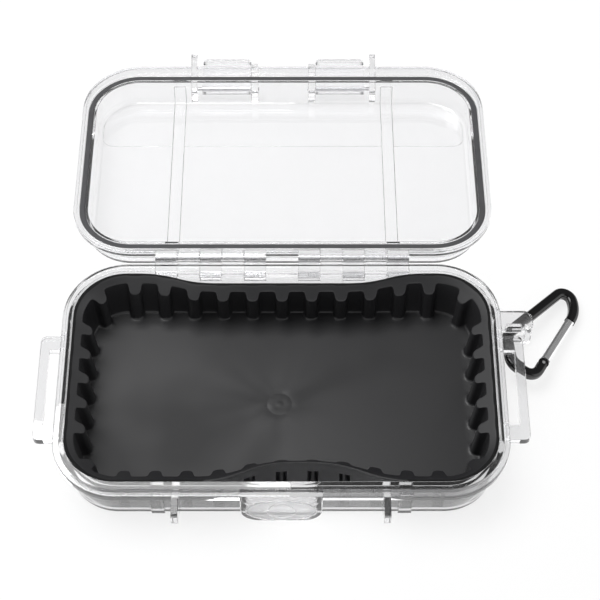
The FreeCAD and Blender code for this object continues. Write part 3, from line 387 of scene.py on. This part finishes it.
# Gate, its rivets and its spring: bright aluminium bar and rivets, and a spring of steel wire.
# The bar is drawn, so fine lines run along it and its reflections pull out across it. The lines are made
# 16 mm long and 0.4 mm apart, so that they show.
bright, tree, place = start_material("bright_drawn_aluminium")
turn = add(tree, "ShaderNodeMapping", {"Rotation": (0.0, 0.0, 1.03), "Scale": (0.016, 0.0004, 0.0004)},
           {"Vector": (place, "Object")}, vector_type="TEXTURE")
lines = add(tree, "ShaderNodeTexNoise", {"Scale": 1.0, "Detail": 3.0}, {"Vector": (turn, "Vector")})
rough = add(tree, "ShaderNodeMapRange", {"To Min": 0.16, "To Max": 0.3}, {"Value": (lines, "Fac")})
bump = add(tree, "ShaderNodeBump", {"Strength": 0.1, "Distance": 0.0001}, {"Height": (lines, "Fac")})
skin = add(tree, "ShaderNodeBsdfPrincipled", {"Base Color": linear("#eeeeef"), "Metallic": 1.0},
           {"Roughness": (rough, "Result"), "Normal": (bump, "Normal")})
add(tree, "ShaderNodeOutputMaterial", {}, {"Surface": (skin, "BSDF")})
dress(bright, *[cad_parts[name] for name in ("hook_gate", "gate_nose_rivet", "gate_hinge_rivet")])

# The spring wire is hard drawn steel, greyer than the bar, and the die left its sheen uneven, drawn here in
# spots of 0.4 mm.
spring_steel, tree, place = start_material("spring_wire")
drawn = add(tree, "ShaderNodeTexNoise", {"Scale": 2500.0, "Detail": 2.0}, {"Vector": (place, "Object")})
rough = add(tree, "ShaderNodeMapRange", {"To Min": 0.25, "To Max": 0.4}, {"Value": (drawn, "Fac")})
skin = add(tree, "ShaderNodeBsdfPrincipled", {"Base Color": linear("#9a9a9c"), "Metallic": 1.0},
           {"Roughness": (rough, "Result")})
add(tree, "ShaderNodeOutputMaterial", {}, {"Surface": (skin, "BSDF")})
dress(spring_steel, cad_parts["gate_spring"])

# Studio: white paper under the box, a soft box over it, a white tent round it, and the camera.
# The paper glows enough to come out white, and keeps a faint shadow where the box blocks the lamp.
paper, tree, place = start_material("white_paper")
fibre = add(tree, "ShaderNodeTexNoise", {"Scale": 30.0, "Detail": 2.0}, {"Vector": (place, "Object")})
tone = add(tree, "ShaderNodeMix", {6: linear("#f9f9f9"), 7: linear("#fbfbfb")}, {"Factor": (fibre, "Fac")},
           data_type="RGBA")
flat = add(tree, "ShaderNodeBsdfDiffuse", {}, {"Color": (tone, 2)})
path = add(tree, "ShaderNodeLightPath")
# Its glow is set for each way of seeing it: by bounced light, in reflections, through plastic and directly.
mirror = add(tree, "ShaderNodeMapRange", {"To Min": 0.7, "To Max": 1.1}, {"Value": (path, "Is Glossy Ray")})
through = add(tree, "ShaderNodeMix", {"B": 0.78},
              {"Factor": (path, "Is Transmission Ray"), "A": (mirror, "Result")})
shine = add(tree, "ShaderNodeMix", {"B": 0.95}, {"Factor": (path, "Is Camera Ray"), "A": (through, "Result")})
glow = add(tree, "ShaderNodeEmission", {"Color": linear("#ffffff")}, {"Strength": (shine, "Result")})
mixed = add(tree, "ShaderNodeMixShader", {0: 0.8}, {1: (flat, "BSDF"), 2: (glow, "Emission")})
add(tree, "ShaderNodeOutputMaterial", {}, {"Surface": (mixed, "Shader")})
# The sheet is 6 m square and lies 0.5 mm under the feet.
corners = [(-3, -3), (3, -3), (3, 3), (-3, 3)]
floor_mesh = bpy.data.meshes.new("floor")
floor_mesh.from_pydata([(x, y, -0.0005) for x, y in corners], [], [(0, 1, 2, 3)])
floor = bpy.data.objects.new("floor", floor_mesh)
bpy.context.scene.collection.objects.link(floor)
dress(paper, floor)

lamp_data = bpy.data.lights.new("soft_box", "AREA")
lamp_data.shape = "RECTANGLE"
lamp_data.size = 0.8
lamp_data.size_y = 0.6
lamp_data.energy = 9.0
lamp = bpy.data.objects.new("soft_box", lamp_data)
lamp.location = (-0.4, 0.28, 1.0)
bpy.context.scene.collection.objects.link(lamp)

world = bpy.data.worlds.new("studio")
bpy.context.scene.world = world
world.use_nodes = True
tree = world.node_tree
tree.nodes.clear()
place = add(tree, "ShaderNodeTexCoord")
split = add(tree, "ShaderNodeSeparateXYZ", {}, {"Vector": (place, "Generated")})
ramp = add(tree, "ShaderNodeMapRange", {"From Min": 0.0, "From Max": 0.7, "To Min": 0.25, "To Max": 0.9},
           {"Value": (split, "Z")})
path = add(tree, "ShaderNodeLightPath")
# Reflections see a dim room with a bright wall at either side and in front, and refractions a pale tent.
side = add(tree, "ShaderNodeMath", {}, {0: (split, "X")}, operation="ABSOLUTE")
walls = add(tree, "ShaderNodeMapRange", {"From Min": 0.5, "From Max": 0.72, "To Min": 0.14, "To Max": 1.3},
            {"Value": (side, "Value")}, interpolation_type="SMOOTHSTEP")
front = add(tree, "ShaderNodeMapRange", {"From Min": -0.5, "From Max": -0.85, "To Min": 0.0, "To Max": 1.3},
            {"Value": (split, "Y")}, interpolation_type="SMOOTHSTEP")
room = add(tree, "ShaderNodeMath", {}, {0: (walls, "Result"), 1: (front, "Result")}, operation="MAXIMUM")
dim = add(tree, "ShaderNodeMix", {},
          {"Factor": (path, "Is Glossy Ray"), "A": (ramp, "Result"), "B": (room, "Value")})
tent = add(tree, "ShaderNodeMapRange", {"From Min": 0.0, "From Max": 0.4, "To Min": 0.8, "To Max": 1.05},
           {"Value": (split, "Z")})
through = add(tree, "ShaderNodeMix", {},
              {"Factor": (path, "Is Transmission Ray"), "A": (dim, "Result"), "B": (tent, "Result")})
level = add(tree, "ShaderNodeMix", {"B": 1.0}, {"Factor": (path, "Is Camera Ray"), "A": (through, "Result")})
light = add(tree, "ShaderNodeBackground", {"Color": linear("#ffffff")}, {"Strength": (level, "Result")})
add(tree, "ShaderNodeOutputWorld", {}, {"Surface": (light, "Background")})

# The camera was fitted to the rim, the hinge line and the open lid in the photo.
camera_data = bpy.data.cameras.new("camera")
camera_data.lens = 110.4
camera_data.sensor_width = 36.0
camera = bpy.data.objects.new("camera", camera_data)
camera.matrix_world = (Matrix.Translation((0.006188, -0.450677, 0.735272))
                       @ Matrix.Rotation(-0.004571, 4, "Z")
                       @ Matrix.Rotation(math.pi / 2 - 0.96230, 4, "X")
                       @ Matrix.Rotation(0.0033056, 4, "Z"))
bpy.context.scene.collection.objects.link(camera)
bpy.context.scene.camera = camera
bpy.context.scene.view_settings.view_transform = "Standard"
